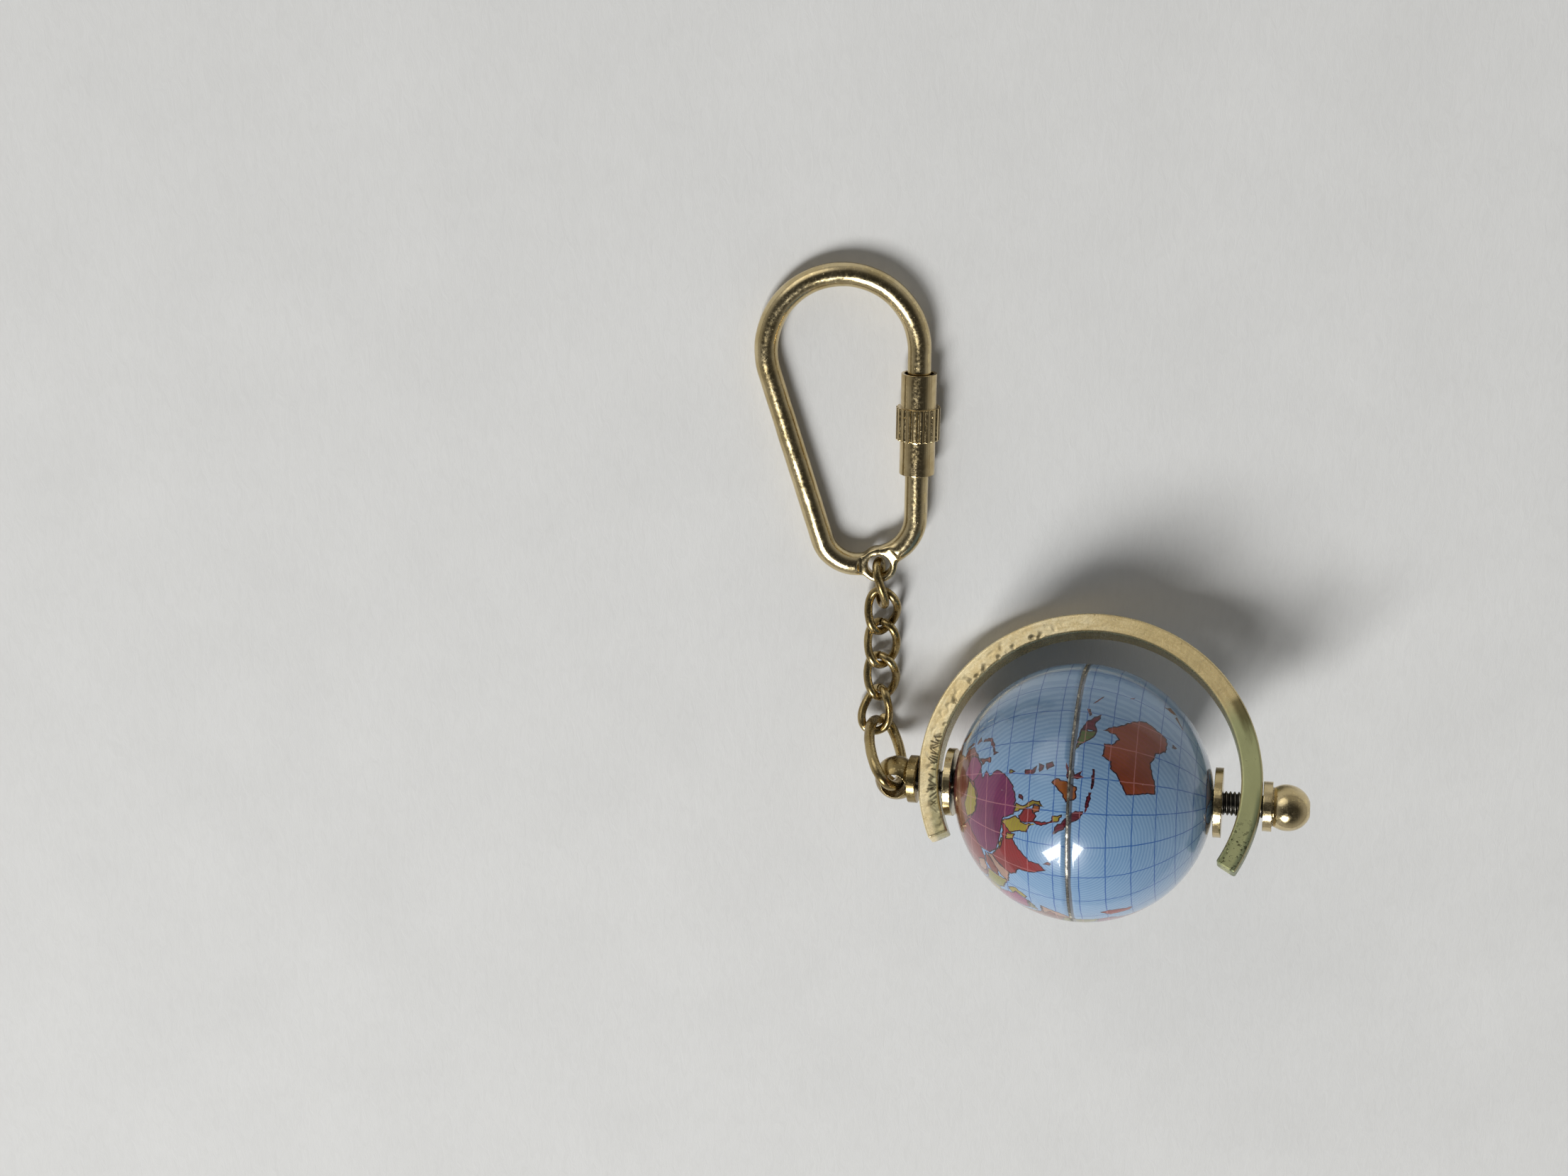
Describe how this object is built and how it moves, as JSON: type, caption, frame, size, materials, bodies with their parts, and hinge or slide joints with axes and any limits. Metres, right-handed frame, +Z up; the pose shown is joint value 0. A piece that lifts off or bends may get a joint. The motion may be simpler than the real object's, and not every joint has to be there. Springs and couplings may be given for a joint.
{
  "type": "globe key ring",
  "caption": "Small brass key ring: a printed globe spins on an axle in a C-shaped arc, joined by a short chain to a carabiner with a screw sleeve.",
  "frame": {"origin": "bottom centre of the box of the whole object as it lies at rest", "axes": "+X from the chain side to the free end of the axle, +Y from the globe to the carabiner bow, +Z up from the surface it lies on"},
  "size_m": [0.0674, 0.0797, 0.032],
  "materials": {
    "brass": "worn bright brass with light scratches and tarnish in the recesses",
    "chain_brass": "duller wire brass, darker in the crevices",
    "axle_steel": "dark oiled steel thread",
    "map_north": "glossy printed map, northern half",
    "map_south": "glossy printed map, southern half",
    "seam_grey": "grey seam of the joining ring"
  },
  "bodies": {
    "globe_frame": {"arc_frame": "brass", "axle": "axle_steel", "north_disc_nut": "brass", "south_disc_nut": "brass", "north_ball_nut": "brass", "south_ball_nut": "brass"},
    "globe": {"north_hemisphere": "map_north", "south_hemisphere": "map_south", "joining_ring": "seam_grey"},
    "ball_link": {"ball_link": "chain_brass"},
    "link_5": {"chain_link_5": "chain_brass"},
    "link_4": {"chain_link_4": "chain_brass"},
    "link_3": {"chain_link_3": "chain_brass"},
    "link_2": {"chain_link_2": "chain_brass"},
    "link_1": {"chain_link_1": "chain_brass"},
    "carabiner": {"carabiner_rod": "brass"},
    "lock_sleeve": {"lock_sleeve": "brass"}
  },
  "joints": [
    {"name": "globe_spin", "type": "hinge", "parent": "globe_frame", "child": "globe", "pos_m": [0.0072, -0.0238, 0.016], "axis": [0.9622, 0.042, 0.2689], "continuous": true},
    {"name": "ball_link_swing", "type": "hinge", "parent": "globe_frame", "child": "ball_link", "pos_m": [-0.01528, -0.02541, 0.00977], "axis": [-0.2987, 0.0454, 0.9533], "range_deg": [-30, 40]},
    {"name": "link_5_swing", "type": "hinge", "parent": "ball_link", "child": "link_5", "pos_m": [-0.01822, -0.01989, 0.00272], "axis": [0.3145, -0.1893, -0.9302], "range_deg": [-30, 30]},
    {"name": "link_4_swing", "type": "hinge", "parent": "link_5", "child": "link_4", "pos_m": [-0.01738, -0.01566, 0.0015], "axis": [0.4128, 0.2158, 0.8849], "range_deg": [-30, 30]},
    {"name": "link_3_swing", "type": "hinge", "parent": "link_4", "child": "link_3", "pos_m": [-0.01731, -0.01106, 0.00185], "axis": [-0.7717, 0.0729, -0.6317], "range_deg": [-30, 25]},
    {"name": "link_2_swing", "type": "hinge", "parent": "link_3", "child": "link_2", "pos_m": [-0.01738, -0.00645, 0.00156], "axis": [0.7842, 0.0888, 0.6141], "range_deg": [-25, 30]},
    {"name": "link_1_swing", "type": "hinge", "parent": "link_2", "child": "link_1", "pos_m": [-0.01707, -0.00191, 0.00274], "axis": [0.8232, -0.2231, 0.5221], "range_deg": [-3, 15]},
    {"name": "carabiner_swing", "type": "hinge", "parent": "link_1", "child": "carabiner", "pos_m": [-0.01796, 0.00201, 0.00238], "axis": [0, 0, 1], "range_deg": [-35, 40]},
    {"name": "sleeve_slide", "type": "slide", "parent": "carabiner", "child": "lock_sleeve", "axis": [0, -1, 0], "range_m": [0, 0.005]}
  ]
}
